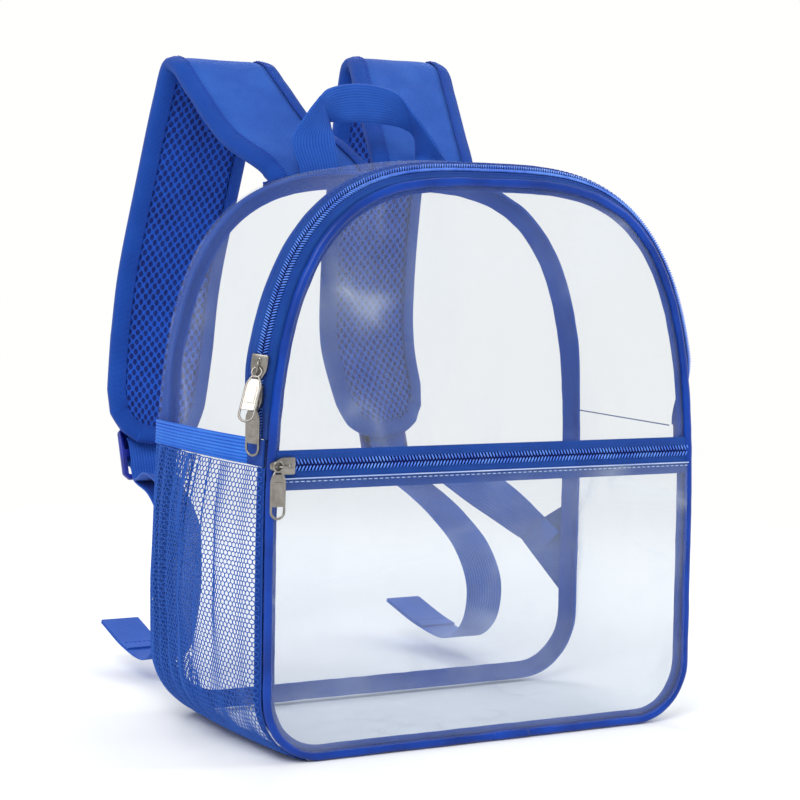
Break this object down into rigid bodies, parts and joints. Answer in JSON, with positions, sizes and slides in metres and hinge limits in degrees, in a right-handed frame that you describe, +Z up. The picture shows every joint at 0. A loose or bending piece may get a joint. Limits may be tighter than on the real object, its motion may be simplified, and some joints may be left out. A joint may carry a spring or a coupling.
{
  "type": "clear backpack",
  "caption": "Clear plastic backpack with blue piping, an arched zip, a flat front pocket, a side net pocket and padded straps",
  "frame": {"origin": "middle of the bag on the floor it stands on", "axes": "x to the right seen from the front, y from the front panel to the straps, z up"},
  "size_m": [0.2961, 0.2821, 0.3845],
  "materials": {
    "film": "clear, glossy and soft",
    "piping": "glossy",
    "seam_tape": "woven tape",
    "zip_tape": "herringbone tape",
    "zip_coil": "satin coil",
    "zip_metal": "polished nickel",
    "net": "knitted net",
    "elastic": "ribbed elastic",
    "padding": "twill outside, air mesh inside",
    "webbing": "woven webbing",
    "tab_fabric": "woven fabric",
    "lock_plastic": "moulded plastic"
  },
  "bodies": {
    "bag": {"gusset_top": "film", "gusset_bottom": "film", "front_panel": "film", "pocket_panel": "film", "back_panel": "film", "front_piping": "piping", "front_seam_tape": "seam_tape", "back_seam_tape": "seam_tape", "strap_binding_left": "seam_tape", "strap_binding_right": "seam_tape", "main_zip_tape_front": "zip_tape", "main_zip_tape_back": "zip_tape", "pocket_zip_tape_upper": "zip_tape", "pocket_zip_tape_lower": "zip_tape", "zip_end_left": "zip_tape", "zip_end_right": "zip_tape", "main_zip_coil": "zip_coil", "pocket_zip_coil": "zip_coil", "main_slider_upper": "zip_metal", "main_slider_lower": "zip_metal", "pocket_slider": "zip_metal", "side_pocket_net": "net", "side_pocket_elastic": "elastic", "strap_pad_left": "padding", "strap_pad_right": "padding", "haul_loop": "webbing", "lock_loop_left": "webbing", "lock_loop_right": "webbing", "strap_webbing_left": "webbing", "strap_webbing_right": "webbing", "wing_tab_left": "tab_fabric", "wing_tab_right": "tab_fabric", "ladder_lock_left": "lock_plastic", "ladder_lock_right": "lock_plastic"},
    "upper pull": {"main_pull_upper": "zip_metal"},
    "lower pull": {"main_pull_lower": "zip_metal"},
    "pocket pull": {"pocket_pull": "zip_metal"}
  },
  "joints": [
    {"name": "main pull upper", "type": "hinge", "parent": "bag", "child": "upper pull", "pos_m": [-0.13845, -0.05868, 0.20514], "axis": [-0.7434, 0.6589, 0.1148], "range_deg": [0, 140]},
    {"name": "main pull lower", "type": "hinge", "parent": "bag", "child": "lower pull", "pos_m": [-0.13953, -0.05572, 0.18893], "axis": [-0.4794, 0.8763, 0.0481], "range_deg": [-1, 14]},
    {"name": "pocket pull", "type": "hinge", "parent": "bag", "child": "pocket pull", "pos_m": [-0.1302, -0.06786, 0.155], "axis": [0, 1, 0], "range_deg": [-30, 95]}
  ]
}
